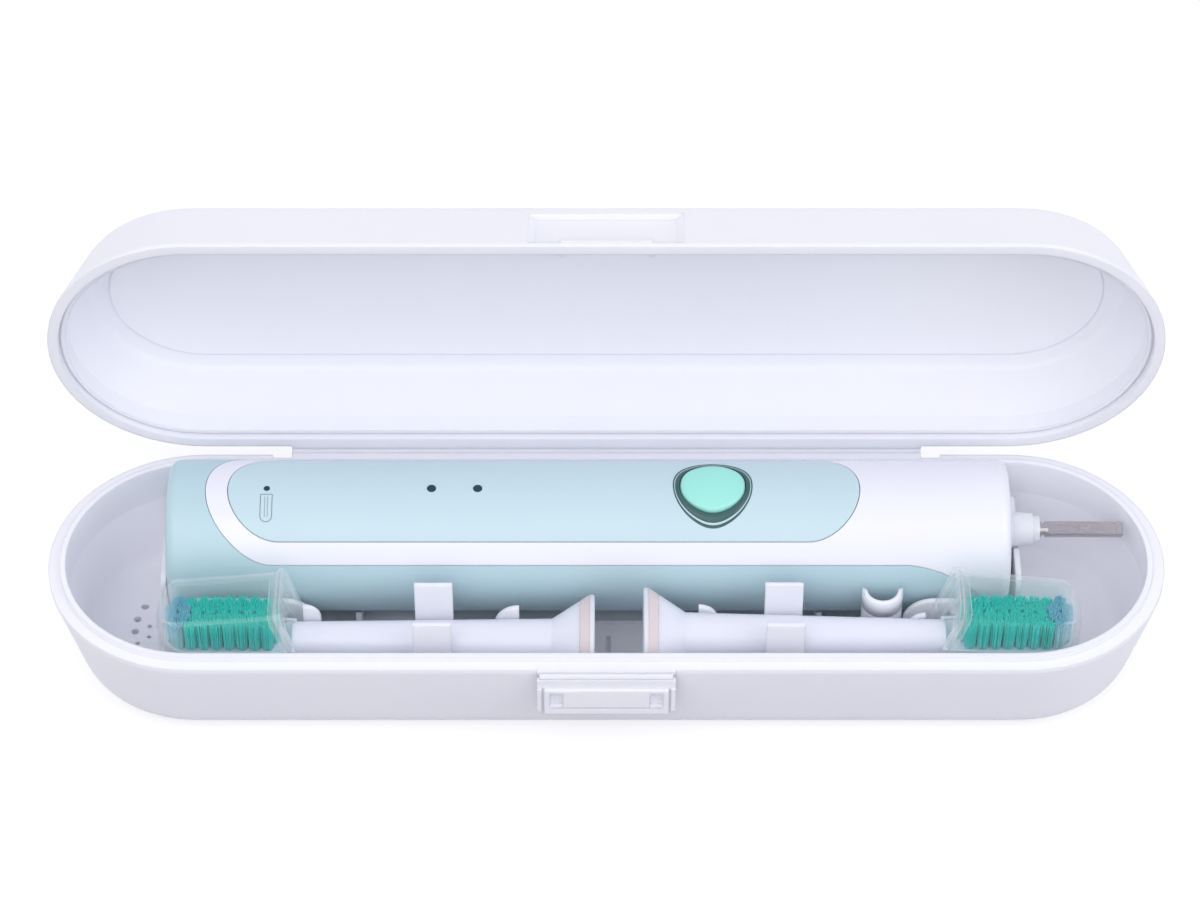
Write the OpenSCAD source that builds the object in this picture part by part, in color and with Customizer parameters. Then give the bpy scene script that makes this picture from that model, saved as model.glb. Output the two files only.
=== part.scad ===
// Travel case for a sonic toothbrush, open, with the handle and two capped brush heads inside.
// Millimetres. Origin: centre of the base's flat underside. +X runs along the case, +Y to the
// hinge side, +Z up. The lid is drawn open and the latch flap hanging, which is the rest pose.

/* [Case] */
// Overall width of the base at the rim
case_w = 61; // [60:0.5:66]
// Depth of the base from its rim to the surface it stands on
base_h = 24; // [23:0.5:28]
// Depth of the lid from its rim to its roof
lid_h = 18; // [17:0.5:22]
// Wall thickness of base and lid
wall = 1.9; // [1.6:0.1:2.2]
// Width of the flat rim
rim_w = 3.6; // [3.2:0.1:3.8]
// Height of the upright band just below the rim
rim_band = 1.0; // [0.6:0.1:1.6]
// Slope of the base's wall from upright, in degrees
base_draft = 14; // [10:1:16]
// Slope of the lid's wall from upright, in degrees
lid_draft = 20; // [14:1:22]
// Radius between the base's wall and its floor
base_fillet = 6; // [4:0.5:7]
// Radius between the lid's wall and its roof
lid_fillet = 4; // [3:0.5:6]
// Gap between the two rims when the case is shut
rim_gap = 0.2; // [0.1:0.05:0.4]
// Height of the base's inner lip, which enters the lid
lip_h = 1.2; // [0.8:0.1:1.6]
// Thickness of the inner lip
lip_t = 1.2; // [0.9:0.1:1.4]
// Distance of the roof's raised panel from the rim outline
roof_panel_inset = 11.5; // [10.5:0.5:14]
// Height of the roof's raised panel
roof_panel_t = 0.4; // [0.2:0.1:0.6]

/* [Room at the ends of the case] */
// From the base's left end to the handle
handle_end_in = 24.3; // [23:0.1:32]
// From the drive shaft's tip to the base's right end
shaft_end_in = 7.4; // [7:0.1:14]
// From the base's left end to the left brush head's tip
brush_a_end_in = 24.5; // [22:0.5:32]
// From the right brush head's tip to the base's right end
brush_b_end_in = 19.5; // [19:0.5:30]
// Between the two brush heads' skirts
skirt_gap = 10; // [6:0.5:16]

/* [Living hinge] */
// Angle of the lid from shut, as it is drawn
lid_open = 86; // [60:1:120]
// Length of the hinge along the back
hinge_l = 133; // [110:1:150]
// Length of the relief cut past each end of the hinge
hinge_relief = 4; // [2:0.5:6]
// How far each hinge flange stands out from its rim
hinge_out = 0.7; // [0.5:0.1:1.2]
// Distance from the bending line to each flange
hinge_reach = 0.5; // [0.4:0.1:0.8]
// Thickness of each hinge flange
flange_t = 1.1; // [0.9:0.1:1.4]
// Thickness of the thin webs that bend
web_t = 0.4; // [0.3:0.05:0.5]

/* [Latch] */
// Width of the latch flap
flap_w = 28; // [22:1:34]
// Length of the latch flap from its bending line
flap_l = 11; // [9.5:0.1:12]
// Thickness of the flap's plate
flap_t = 1.1; // [0.9:0.1:1.4]
// Angle by which the hanging flap leans to the base
flap_hang = 3; // [0:1:6]
// How far the latch flange stands out from the rim
latch_out = 0.6; // [0.4:0.1:1]
// Distance from the flap's bending line to its two edges
latch_reach = 0.8; // [0.6:0.1:1]
// Depth of the recess in the lid that takes the flap
notch_depth = 1.5; // [1.2:0.1:1.6]
// Height of that recess along the lid's wall
notch_h = 13.2; // [12:0.2:13.6]
// Length of the catch bar in the recess
catch_l = 18.8; // [12:0.2:22]

/* [Handle] */
// Diameter of the handle
handle_d = 31.5; // [29:0.5:32]
// Length of the handle's body
handle_l = 174; // [168:1:178]
// How far the handle is rolled to the front
handle_roll = 6; // [0:1:12]
// Wall thickness of the handle's shells
shell_t = 1.8; // [1.5:0.1:2]
// Seam between the two shells
seam = 0.1; // [0.05:0.05:0.15]
// Half width of the front shell at its round left end
front_half_w = 13.7; // [12.8:0.1:14]
// Place of the front shell's left end, from the handle's left end
front_start = 8.2; // [6:0.1:12]
// Half width of the control panel
panel_half_w = 10.6; // [9.8:0.1:11]
// Place of the panel's left end, from the handle's left end
panel_start = 12.8; // [11.5:0.1:16]
// Length of the control panel
panel_l = 130; // [124:1:136]
// Thickness of the control panel
panel_t = 1.0; // [0.8:0.1:1.2]
// Gap round the control panel
panel_gap = 0.15; // [0.1:0.05:0.2]
// Place of the power button, from the handle's neck end
button_at = 61.4; // [56:0.1:70]
// Travel of the power button
button_travel = 0.8; // [0.5:0.1:1]
// Height of the button's crown above the handle
button_proud = 0.8; // [0.5:0.1:1.1]
// Width of the dark ring round the button
ring_w = 1.5; // [1.2:0.1:1.8]
// Gap between the button and its ring
button_gap = 0.15; // [0.1:0.05:0.25]
// Radius of the drive shaft
shaft_r = 2.0; // [1.7:0.1:2.2]
// Length of the drive shaft that stands out of the handle
shaft_out = 24.3; // [20:0.1:24.5]
// Offset of the shaft from the handle's middle to its front
shaft_off = 2.0; // [0:0.1:3]
// Running clearance round the drive shaft
shaft_gap = 0.06; // [0.03:0.01:0.1]
// Radius of the neck collar at the handle
collar_r = 4.0; // [3.7:0.1:4.6]
// Length of the neck collar
collar_l = 6.8; // [5:0.1:7.5]

/* [Brush heads] */
// Length of a brush head without its cap
brush_l = 88; // [86:0.5:89]
// Radius of the skirt's open end
skirt_r = 10; // [9.4:0.1:10]
// Length of the skirt
skirt_l = 8.7; // [7.5:0.1:10]
// Radius of the neck where it leaves the skirt
neck_r0 = 5.0; // [4.7:0.1:5.1]
// Radius of the neck where it meets the head
neck_r1 = 3.9; // [3.6:0.1:4]
// Half width of the head
head_half_w = 5.2; // [5:0.1:5.4]
// Height of the bristles above the head
bristle_h = 6.8; // [6:0.1:8]
// Radius of one bristle strand
strand_r = 0.32; // [0.25:0.01:0.34]
// How far the left brush head's skirt end lies lower than its tip end
brush_a_dip = 1.3; // [0:0.1:1.5]
// How far the right brush head's skirt end lies higher than its tip end
brush_b_rise = 0.8; // [0:0.1:1]

/* [Brush caps] */
// Length of a brush cap
cap_l = 29; // [28.5:0.1:30]
// Half width of a brush cap
cap_half_w = 7.4; // [7.1:0.1:7.8]
// Height of a cap's roof above the brush's axis, where it is highest
cap_top = 14.2; // [13.2:0.1:14.6]
// How far a cap's roof falls towards its outer end
cap_fall = 2.0; // [1:0.1:2.4]
// Depth of a cap's sides below the brush's axis
cap_down = 4; // [3:0.1:5]
// Wall thickness of a cap
cap_wall = 1.0; // [0.8:0.1:1.2]
// How far a cap's mouth reaches past the wall with the neck's slot
cap_hood = 1.9; // [1.2:0.1:2.2]

/* [Rests inside the base] */
// Clearance between a rest and what lies in it
rest_gap = 0.35; // [0.25:0.05:0.5]
// Width of each neck clip
clip_w = 7.8; // [6:0.1:10]
// Thickness of each neck clip
clip_t = 1.1; // [0.9:0.1:1.3]
// Height of the clips' fingers above the case's underside
clip_top = 28.5; // [25:0.5:30]
// Place of the neck clips, from each brush head's skirt end
clip_at = 32.8; // [28:0.1:38]
// Thickness of the ribs and fins
rib_t = 1.2; // [1:0.1:1.5]
// Diameter of the larger vent holes
vent_d = 1.5; // [1:0.1:2]

/* [Hidden] */
$fn = 64;
cut = 40;                                     // reach of a cutter past what it cuts
nick = 0.01;                                  // overlap of a cutter with the face it opens
case_l = max(handle_end_in + handle_l + shaft_out + shaft_end_in,
    brush_a_end_in + 2 * brush_l + skirt_gap + brush_b_end_in); // as long as its contents need
half_w = case_w / 2;
handle_x0 = -case_l / 2 + handle_end_in;
brush_a_x = -case_l / 2 + brush_a_end_in + brush_l;
brush_b_x = case_l / 2 - brush_b_end_in - brush_l;
end_x = case_l / 2 - half_w;                  // middle of each round end
lid_z = base_h + rim_gap;                     // height of the shut lid's rim
lip_gap = 0.15;
lip_head = 0.3;                               // room over the lip in the shut lid
ledge = lip_h - rim_gap + lip_head;
groove_w = 0.4;
hinge_y = half_w + hinge_out + hinge_reach;
hinge_z = base_h + rim_gap / 2;
hinge_half_gap = rim_gap / 2 + flange_t / 2;  // from the bending line's height to a flange's middle
latch_y = -(half_w + latch_out + latch_reach);
latch_flange_t = 0.9;
latch_z = base_h - latch_flange_t / 2;
flap_pad_t = 0.9;
flap_pad_at = 3.0;                            // from the bending line to the hooking edge
notch_w = flap_w + 0.6;
notch_slope = 1.5;
notch_start = 0.5;
catch_at = 0.5;
catch_h = 1.0;
catch_out = 0.35;                             // how far the catch bar stands out of the lid's wall
knob_x = 9;
knob_r = 0.9;
end_plate_z = 20;
clip_foot = 3;
saddle_in = 39;                                // from each end of the handle to its saddle
clip_b_shift = 4;                              // the right clip stands this much nearer its skirt
rim_inner = half_w - rim_w;

handle_r = handle_d / 2;
handle_y = rim_inner - rest_gap - handle_r;
handle_z = 20.05;
handle_x1 = handle_x0 + handle_l;
handle_edge = 2.2;
bore_r = handle_r - shell_t;
end_wall = 2.5;
front_c = handle_x0 + front_start + front_half_w;
front_z = sqrt(pow(handle_r, 2) - pow(front_half_w, 2));
flare_l = 21;                                 // length over which the seam curves down at the neck end
flare_x = handle_x1 - 3 - flare_l;
flare_z = -8;
panel_c0 = handle_x0 + panel_start + panel_half_w;
panel_c1 = handle_x0 + panel_start + panel_l - panel_half_w;
button_x = handle_x1 - button_at;
button_corner_r = 3.5;
button_spread = 3.5;
button_side_c = 3.3;
button_root_r = handle_r - shell_t - 1.6;
button_stem_r = 2;
button_flange = 1.0;
ring_root_r = handle_r - shell_t - 0.6;
led_r = 0.9;
led_x = [handle_x0 + 54.7, handle_x0 + 64.2];
charge_led_x = handle_x0 + 20.8;
charge_led_r = 0.6;
led_gap = 0.05;
tray_half_w = 10;
tray_floor_z = -9.2;
tray_wall = 1.2;
tray_top_z = 6.4;
tray_x0 = handle_x0 + 14;
tray_x1 = handle_x1 - 6;
board_t = 1.6;
board_x1 = button_x + 9.4;
cell_r = 7;
cell_l = 50;
cell_x0 = handle_x0 + 44;
motor_r = 8.3;
motor_l = 39;
motor_x1 = handle_x1 - 8;
motor_x0 = motor_x1 - motor_l;
switch_w = 6;
recess_r = 5;                                 // charging recess in the handle's left end
recess_l = 10;
shaft_x1 = handle_x1 + shaft_out;
shaft_flat = 1.1;

brush_y = -(rim_inner - 0.25 - skirt_r);
brush_z = 18;
brush_a_tilt = asin(brush_a_dip / brush_l);
brush_b_tilt = asin(brush_b_rise / brush_l);
head_x = brush_l - 27;                        // where the head's flat starts
head_top = 1.6;
field_sink = 0.4;
skirt_lip = 1.0;
skirt_band = 2.0;
skirt_wall = 1.3;
insert_r = 3.1;
insert_l = 16;
brush_bore_r = shaft_r + 0.15;
tuft_pitch = 2.42;
tuft_start = 4.85;                            // from the head's flat to the first tuft
row_pitch = 2.0;
inner_tufts = 9;                              // tufts in each of the two inner rows
outer_tufts = 8;                              // tufts in each of the two outer rows
strand_pitch = 0.66;
cap_x0 = brush_l + 1.1 - cap_l;
cap_slant = 5.2;
cap_corner = 3;
cap_nose = 6;
cap_rim = 0.7;                                // how far the mouth's rim stands out
cap_lean = cap_slant / (cap_top + cap_down);
cap_tilt = atan(cap_fall / (cap_l - cap_slant - cap_nose));

function neck_r_at(x) = neck_r0 + (neck_r1 - neck_r0) * (x - skirt_l) / (head_x - skirt_l);
function drop_at(dip, x) = dip * (1 - x / brush_l);

white = [0.92, 0.92, 0.96];
teal = [0.72, 0.85, 0.89];
panel_blue = [0.80, 0.88, 0.93];
mint = [0.70, 0.94, 0.89];
dark_green = [0.27, 0.43, 0.43];
clear = [0.85, 0.92, 0.95, 0.4];
steel = [0.62, 0.62, 0.64];

// Plan outline of the case at a distance inside its rim.
module plan(inset) {
    square([2 * end_x, 2 * (half_w - inset)], center = true);
    for (s = [-1, 1]) translate([s * end_x, 0]) circle(half_w - inset);
}

// Carries a half section round the case. Section: x from the middle plane outward, y height.
module round_ended() {
    translate([-end_x, 0, 0]) rotate([90, 0, 90]) linear_extrude(2 * end_x) {
        children();
        mirror([1, 0]) children();
    }
    for (turn = [0, 180]) rotate(turn) translate([end_x, 0, 0]) rotate(-90)
        rotate_extrude(angle = 180) children();
}

// Half area inside a bowl's sloping wall and rounded foot, at a distance inside its outer face.
module bowl_area(h, draft, fillet, inset) {
    foot_x = half_w - (fillet + sin(draft) * (h - rim_band - fillet)) / cos(draft);
    high = h + 10;
    high_x = half_w + (-inset + sin(draft) * (high - h + rim_band)) / cos(draft);
    touch = [foot_x + (fillet - inset) * cos(draft), fillet - (fillet - inset) * sin(draft)];
    polygon([[0, inset], [foot_x, inset], [foot_x, fillet], touch, [high_x, high], [0, high]]);
    translate([foot_x, fillet]) circle(fillet - inset);
}

// Half section of a bowl: floor, rounded foot, thin sloping wall, wide flat rim.
module bowl_section(h, draft, fillet) {
    difference() {
        intersection() {
            bowl_area(h, draft, fillet, 0);
            square([half_w, h]);
        }
        intersection() {
            bowl_area(h, draft, fillet, wall);
            square([half_w - rim_w, h + 1]);
        }
    }
}

module bowl(h, draft, fillet) {
    round_ended() bowl_section(h, draft, fillet);
}

// A strip along X bent about an axis parallel to X.
module bent_web(length, reach, offset, turn) {
    r = offset + reach / tan(turn / 2);
    translate([-length / 2, -reach, r - offset]) rotate([90, 0, 90]) linear_extrude(length)
        intersection() {
            difference() {
                circle(r + web_t / 2);
                circle(r - web_t / 2);
            }
            polygon([[0, 0], [0, -cut], [cut * sin(turn / 2), -cut * cos(turn / 2)],
                [cut * sin(turn), -cut * cos(turn)]]);
        }
}

// Half round saddle plate across the case that carries the handle.
module saddle(x) {
    translate([x - rib_t / 2, 0, 0]) rotate([90, 0, 90]) linear_extrude(rib_t)
        difference() {
            translate([handle_y - 12, wall - 0.2]) square([24, handle_z - 8.6 - wall + 0.2]);
            translate([handle_y, handle_z]) circle(handle_r + rest_gap);
        }
}

// End plate across the case; the notch, if any, lets the neck collar through.
module end_plate(x, notch_r) {
    translate([x - rib_t / 2, 0, 0]) rotate([90, 0, 90]) linear_extrude(rib_t)
        difference() {
            union() {
                translate([handle_y - 13, wall - 0.2]) square([26, end_plate_z - 3 - wall + 0.2]);
                translate([handle_y - 10, wall - 0.2]) square([20, end_plate_z - wall + 0.2]);
                for (s = [-1, 1]) translate([handle_y + s * 10, end_plate_z - 3]) circle(3);
            }
            if (notch_r > 0) {
                translate([handle_y, collar_z()]) circle(notch_r);
                translate([handle_y - notch_r, collar_z()]) square([2 * notch_r, cut]);
            }
        }
}

function collar_z() = handle_z + shaft_off * cos(handle_roll);

// Fin beside a neck: steep on one side and a quarter round on the other.
module fin(x, y, len, top, way) {
    translate([x, y + rib_t / 2, wall - 0.2]) mirror([way < 0 ? 1 : 0, 0, 0]) rotate([90, 0, 0])
        linear_extrude(rib_t) {
            h = top - wall + 0.2;
            square([len, h - len]);
            intersection() {
                translate([len, h - len]) circle(len);
                square([len, h]);
            }
        }
}

// Pair of fins, one behind the neck and one in front of it.
module fin_pair(x, neck_r, len, top, way) {
    away = neck_r + rest_gap + rib_t / 2;
    fin(x, brush_y + away, len, top, way);
    fin(x, brush_y - away, len, top - 5.5, way);
}

// Long rib between a brush's cap and the handle, its end nearer the case's middle rounded off.
module cap_rib(x, way) {
    len = 25;
    top = 19.3;
    round_r = 6.5;
    translate([x, rib_t / 2 - 7, wall - 0.2]) mirror([way < 0 ? 1 : 0, 0, 0]) rotate([90, 0, 0])
        linear_extrude(rib_t) {
            h = top - wall + 0.2;
            square([len, h - round_r]);
            translate([round_r, 0]) square([len - round_r, h]);
            translate([round_r, h - round_r]) circle(round_r);
        }
}

// Half pipe post between handle and neck, its top cut to a hollow curve.
module half_pipe_post(x) {
    post_r = 4.2;
    post_z = 22.4;
    difference() {
        intersection() {
            translate([x, -6.4, wall - 0.2]) cylinder(r = post_r, h = post_z - wall + 0.2);
            translate([x - post_r, -6.4 - post_r, 0]) cube([2 * post_r, post_r, cut]);
        }
        translate([x, -6.4, 0]) cylinder(r = post_r - 1, h = cut);
        translate([x, 0, post_z + 1.6]) rotate([90, 0, 0]) cylinder(r = 4.2, h = cut, center = true);
    }
}

module base_shell() {
    color(white) difference() {
        union() {
            bowl(base_h, base_draft, base_fillet);
            round_ended() translate([rim_inner, base_h - 0.5]) square([lip_t, lip_h + 0.5]);
            translate([-hinge_l / 2, half_w - 0.5, base_h - flange_t])
                cube([hinge_l, hinge_out + 0.5, flange_t]);
            translate([-flap_w / 2, -half_w - latch_out, base_h - latch_flange_t])
                cube([flap_w, latch_out + 0.5, latch_flange_t]);
            saddle(handle_x0 + saddle_in);
            saddle(handle_x1 - saddle_in);
            end_plate(handle_x0 - rest_gap - rib_t / 2, 0);
            end_plate(handle_x1 + 1.4 + rib_t / 2, collar_r + rest_gap);
            fin_pair(brush_a_x - 20.4, neck_r_at(15), 5, 21.3, 1);
            fin_pair(brush_b_x + 15.4, neck_r_at(15), 4, 21.6, -1);
            fin_pair(brush_a_x - 56, neck_r_at(57), 3.6, 22.6, -1);
            fin_pair(brush_b_x + 54.4, neck_r_at(54), 3.6, 20, 1);
            half_pipe_post(brush_b_x + 49.3);
            cap_rib(brush_a_x - 57.5, -1);
            cap_rib(brush_b_x + 53.6, 1);
            translate([-32, 2.2, wall - 0.2]) cube([64, 0.7, 1.0]);
        }
        for (s = [-1, 1]) translate([s * (hinge_l + hinge_relief) / 2, half_w, base_h])
            cube([hinge_relief, 1.8, 5], center = true);
        translate([-case_l / 2, 0, -1]) {
            for (h = [[17.6, 7.2], [16.3, 3.6], [16, 0.1]])
                translate(h) cylinder(d = vent_d, h = wall + 2);
            for (h = [[19, 1.6], [19.1, -1.4], [16.8, -3.2]])
                translate(h) cylinder(d = vent_d * 0.6, h = wall + 2);
        }
        translate([0, -5.5, wall - 0.9]) cube([0.8, 4.3, 2]);
    }
}

// Springy clip: a foot on the floor and a channel with two tall fingers for the neck.
module neck_clip(x, neck_r, drop) {
    inner = neck_r + rest_gap;
    outer = inner + clip_t;
    zc = brush_z - drop;
    translate([x - clip_w / 2, 0, 0]) rotate([90, 0, 90]) linear_extrude(clip_w)
        translate([brush_y, 0]) {
            difference() {
                union() {
                    translate([0, zc]) circle(outer);
                    translate([-outer, zc]) square([2 * outer, clip_top - zc]);
                }
                translate([0, zc]) circle(inner);
                translate([-inner, zc]) square([2 * inner, cut]);
            }
            translate([-clip_foot / 2, wall]) square([clip_foot, zc - outer - wall + clip_t / 2]);
        }
}

module neck_clip_a() {
    drop = drop_at(brush_a_dip, clip_at);
    color(white) neck_clip(brush_a_x - clip_at, neck_r_at(clip_at - clip_w / 2), drop);
}

module neck_clip_b() {
    at = clip_at - clip_b_shift;
    color(white) neck_clip(brush_b_x + at, neck_r_at(at - clip_w / 2), drop_at(-brush_b_rise, at));
}

// Turns what is drawn for the shut lid to the lid's drawn angle.
module lid_place() {
    translate([0, hinge_y, hinge_z]) rotate([-lid_open, 0, 0]) translate([0, -hinge_y, -hinge_z])
        children();
}

// Frame of the shut lid's front wall: z up along the wall, y into it.
module lid_front() {
    translate([0, -half_w, lid_z + rim_band]) rotate([-lid_draft, 0, 0]) children();
}

module lid_shell() {
    color(white) lid_place() difference() {
        union() {
            translate([0, 0, lid_z + lid_h]) mirror([0, 0, 1]) {
                bowl(lid_h, lid_draft, lid_fillet);
                translate([0, 0, wall - 0.1]) linear_extrude(roof_panel_t + 0.1)
                    plan(roof_panel_inset);
            }
            translate([-hinge_l / 2, half_w - 0.5, lid_z])
                cube([hinge_l, hinge_out + 0.5, flange_t]);
            lid_front() translate([-notch_w / 2 - 2, wall - 0.3, 1.2])
                cube([notch_w + 4, 1.5, notch_h - 0.4]);
            for (s = [-1, 1]) translate([s * knob_x, -rim_inner, lid_z + ledge + 0.2])
                cylinder(r = knob_r, h = 2.4);
        }
        round_ended() translate([rim_inner - 1, lid_z - 1])
            square([lip_t + lip_gap + 1, ledge + 1]);
        round_ended() translate([rim_inner + lip_t + lip_gap - groove_w, lid_z])
            square([groove_w, ledge + 0.5]);
        lid_front() translate([0, 0, notch_start]) linear_extrude(notch_h)
            polygon([[-notch_w / 2, notch_depth], [-notch_w / 2 - notch_slope - 1, -1],
                [notch_w / 2 + notch_slope + 1, -1], [notch_w / 2, notch_depth]]);
    }
    color(white) lid_place() lid_front() translate([-catch_l / 2, -catch_out, catch_at])
        cube([catch_l, notch_depth + catch_out + 0.3, catch_h]);
}

module hinge_web() {
    color(white) translate([0, hinge_y, hinge_z])
        bent_web(hinge_l, hinge_reach, hinge_half_gap, 180 - lid_open);
}

// The flap upright, its bending line on the X axis and its inner face to +Y.
module flap_upright() {
    pad_y = flap_t / 2;
    difference() {
        union() {
            translate([-flap_w / 2, -flap_t / 2, latch_reach])
                cube([flap_w, flap_t, flap_l - latch_reach]);
            translate([-flap_w / 2 + 1.4, pad_y - 0.1, flap_pad_at])
                cube([flap_w - 2.8, flap_pad_t + 0.1, flap_l - flap_pad_at - 0.6]);
        }
        for (s = [-1, 1]) translate([s * (flap_w / 2 - 3.9) - 1.35, pad_y - 0.15, flap_pad_at + 0.9])
            cube([2.7, 2, 4.2]);
        translate([-flap_w / 2 + 3, pad_y + 0.55, flap_pad_at + 5.3]) cube([flap_w - 6, 2, 0.4]);
        for (s = [-1, 1]) translate([s * flap_w / 2, 0, flap_l]) rotate([0, 45, 0])
            cube([1.6, 4, 1.6], center = true);
    }
    for (s = [-1, 1]) translate([s * (flap_w / 2 - 0.5) - 0.5, pad_y - 0.1, flap_pad_at])
        cube([1, 0.6, flap_l - flap_pad_at - 1]);
}

module latch_flap() {
    color(white) translate([0, latch_y, latch_z]) rotate([180 + flap_hang, 0, 0]) flap_upright();
}

module latch_web() {
    color(white) translate([0, latch_y, latch_z]) mirror([0, 1, 0]) mirror([0, 0, 1])
        bent_web(flap_w - 1, latch_reach, 0, 90 + flap_hang);
}

// Handle frame: x along the handle, z to its front.
module in_handle() {
    translate([0, handle_y, handle_z]) rotate([handle_roll, 0, 0]) children();
}

// Turned body about the handle's axis from x0 to x1 with rounded ends.
module turned(r, x0, x1, edge) {
    rotate([0, 90, 0]) rotate_extrude() difference() {
        translate([0, x0]) square([r, x1 - x0]);
        if (edge > 0) for (end = [0, 1]) translate([r - edge, end ? x1 - edge : x0 + edge])
            difference() {
                translate([0, end ? 0 : -edge - 1]) square([edge + 1, edge + 1]);
                circle(edge);
            }
    }
}

module rod(r, x0, x1) {
    translate([x0, 0, 0]) rotate([0, 90, 0]) cylinder(r = r, h = x1 - x0);
}

// Hollow body that the two shells share.
module handle_tube() {
    difference() {
        turned(handle_r, handle_x0, handle_x1, handle_edge);
        rod(bore_r, handle_x0 - 1, handle_x1 - end_wall);
        translate([0, 0, shaft_off]) rod(collar_r - 1.2, handle_x1 - cut, handle_x1 + 1);
    }
}

// Region of the front shell: a strip with a round left end, which widens to the whole right end.
module front_region(grow) {
    w = front_half_w + grow;
    top = front_z + handle_r;
    fall = front_z + 0.1 - flare_z;
    linear_extrude(cut) {
        translate([front_c, 0]) circle(w);
        translate([front_c, -w]) square([cut * 5, 2 * w]);
    }
    translate([0, cut, 0]) rotate([90, 0, 0]) linear_extrude(2 * cut) translate([-grow, -grow])
        polygon(concat([[flare_x, top + 1]],
            [for (t = [0 : 9 : 90]) [flare_x + flare_l * sin(t), flare_z + fall * cos(t)]],
            [[flare_x + flare_l, -cut], [flare_x + cut * 3, -cut], [flare_x + cut * 3, top + 1]]));
}

module panel_plan(grow) {
    for (x = [panel_c0, panel_c1]) translate([x, 0]) circle(panel_half_w + grow);
    translate([panel_c0, -panel_half_w - grow])
        square([panel_c1 - panel_c0, 2 * (panel_half_w + grow)]);
}

// Three cornered outline with bulged sides, its point to -y.
module pick(grow) {
    c = button_side_c;
    a = button_spread;
    side_r = button_corner_r + sqrt(c * c + a * a + a * c) + grow;
    lean = atan2(a * sin(60), c + a * cos(60));
    reach = 2 * side_r;
    translate([button_x, 0]) for (k = [0, 120, 240]) rotate(k) {
        translate([0, -a]) circle(button_corner_r + grow);
        intersection() {
            translate([0, -c]) circle(side_r);
            polygon([[0, -c], [-reach * sin(lean), -c + reach * cos(lean)],
                [reach * sin(lean), -c + reach * cos(lean)]]);
        }
    }
}

module lens_holes(extra) {
    for (x = led_x) translate([x, 0, 0]) cylinder(r = led_r + extra, h = cut);
    translate([charge_led_x, 0, 0]) cylinder(r = charge_led_r + extra, h = cut);
}

module handle_back_shell() {
    color(teal) in_handle() difference() {
        handle_tube();
        front_region(seam);
    }
}

module handle_front_shell() {
    color(white) in_handle() difference() {
        intersection() {
            handle_tube();
            front_region(0);
        }
        difference() {
            linear_extrude(cut) panel_plan(panel_gap);
            rod(handle_r - panel_t, handle_x0, handle_x1);
        }
        linear_extrude(cut) pick(ring_w);
        lens_holes(led_gap);
    }
}

module control_panel() {
    color(panel_blue) in_handle() difference() {
        intersection() {
            linear_extrude(cut) panel_plan(0);
            rod(handle_r, handle_x0, handle_x1);
        }
        rod(handle_r - panel_t, handle_x0 - 1, handle_x1 + 1);
        linear_extrude(cut) pick(ring_w);
        lens_holes(led_gap);
    }
}

module button_ring() {
    color(dark_green) in_handle() difference() {
        intersection() {
            linear_extrude(cut) pick(ring_w - 0.02);
            rod(handle_r + 0.2, button_x - 15, button_x + 15);
        }
        rod(ring_root_r, button_x - 16, button_x + 16);
        linear_extrude(cut) pick(button_gap);
    }
}

module power_button() {
    crown_r = 40;
    top_r = handle_r + button_proud;
    color(mint) in_handle() {
        difference() {
            intersection() {
                linear_extrude(cut) pick(0);
                translate([button_x, 0, 0]) rotate([0, 90, 0]) rotate_extrude() intersection() {
                    translate([top_r - crown_r, 0]) circle(crown_r);
                    translate([0, -12]) square([top_r + 1, 24]);
                }
            }
            rod(button_root_r, button_x - 12, button_x + 12);
        }
        difference() {
            intersection() {
                linear_extrude(cut) pick(button_flange);
                rod(ring_root_r - 0.1, button_x - 12, button_x + 12);
            }
            rod(button_root_r, button_x - 13, button_x + 13);
        }
        translate([button_x, 0, switch_top() + button_travel + 0.05])
            cylinder(r = button_stem_r, h = button_root_r - switch_top());
    }
}

function switch_top() = tray_top_z + board_t + 2.4;

module lens(x, r) {
    color(dark_green) in_handle() intersection() {
        translate([x, 0, tray_top_z + board_t]) cylinder(r = r, h = cut);
        rod(handle_r + 0.05, handle_x0, handle_x1);
    }
}

module led_lens_1() {
    lens(led_x[0], led_r);
}

module led_lens_2() {
    lens(led_x[1], led_r);
}

module charge_lens() {
    lens(charge_led_x, charge_led_r);
}

module handle_bottom_cap() {
    color(teal) in_handle() difference() {
        union() {
            rod(bore_r - 0.05, handle_x0 + 0.6, handle_x0 + 3.4);
            rod(recess_r + 1.2, handle_x0 + 3, handle_x0 + 3.4 + recess_l);
        }
        rod(recess_r, handle_x0, handle_x0 + 2.4 + recess_l);
    }
}

module neck_collar() {
    tip_r = collar_r - 0.7;
    color([0.9, 0.92, 0.95]) in_handle() translate([0, 0, shaft_off]) difference() {
        union() {
            rod(collar_r - 1.25, handle_x1 - end_wall, handle_x1 + 1);
            rod(collar_r, handle_x1, handle_x1 + 1.2);
            translate([handle_x1 + 1.2, 0, 0]) rotate([0, 90, 0])
                cylinder(r1 = collar_r - 0.3, r2 = tip_r, h = collar_l - 2.6);
            rod(tip_r - 0.5, handle_x1, handle_x1 + collar_l);
        }
        rod(shaft_r + shaft_gap, handle_x1 - cut, handle_x1 + cut);
    }
}

module drive_shaft() {
    color(steel) in_handle() translate([0, 0, shaft_off]) difference() {
        union() {
            rod(shaft_r, motor_x1 + 0.3, shaft_x1 - 0.5);
            translate([shaft_x1 - 0.5, 0, 0]) rotate([0, 90, 0])
                cylinder(r1 = shaft_r, r2 = shaft_r - 0.4, h = 0.5);
        }
        translate([handle_x1 + collar_l + 1.4, -cut, shaft_flat]) cube([cut, 2 * cut, cut]);
        translate([handle_x1 + collar_l + 0.6, -cut, 0.7]) cube([1.6, 2 * cut, cut]);
        translate([handle_x1 + 15.4, -cut, 0.5]) cube([0.6, 2 * cut, cut]);
    }
}

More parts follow.
